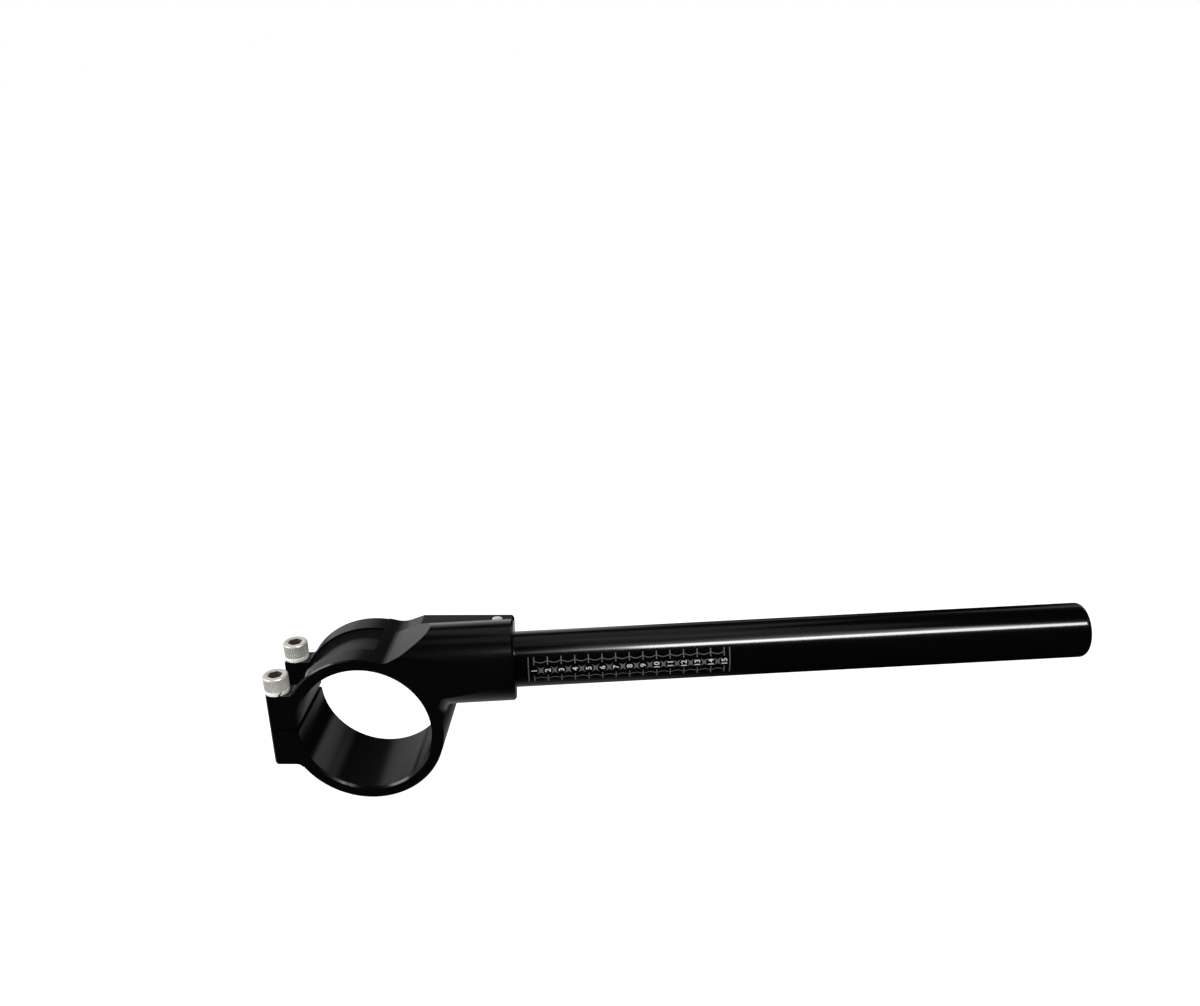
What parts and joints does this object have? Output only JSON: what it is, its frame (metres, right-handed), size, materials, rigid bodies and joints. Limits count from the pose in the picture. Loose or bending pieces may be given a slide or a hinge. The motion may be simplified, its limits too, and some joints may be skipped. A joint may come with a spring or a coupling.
{
  "type": "clip-on handlebar",
  "caption": "Motorcycle clip-on handlebar: a split fork clamp with screw lugs and a pinched round socket that holds a straight drooped bar tube with an etched scale.",
  "frame": {"origin": "centre of the fork bore, at the middle of the ring's width", "axes": "+Y along the fork bore, away from the upper face of the clamp, +X out along the bar, +Z towards the heads of the fork screws"},
  "size_m": [0.3314, 0.0524, 0.0712],
  "materials": {
    "clamp_anodised": "satin black anodised, machined",
    "bar_anodised": "bright black anodised, with an etched scale",
    "screw_steel": "zinc plated",
    "washer_steel": "bright zinc plated"
  },
  "bodies": {
    "root": {"fork_clamp": "clamp_anodised", "bar_tube": "bar_anodised", "fork_screw_front": "screw_steel", "fork_screw_rear": "screw_steel", "fork_washer_front": "washer_steel", "fork_washer_rear": "washer_steel", "bar_screw": "screw_steel"}
  },
  "joints": []
}
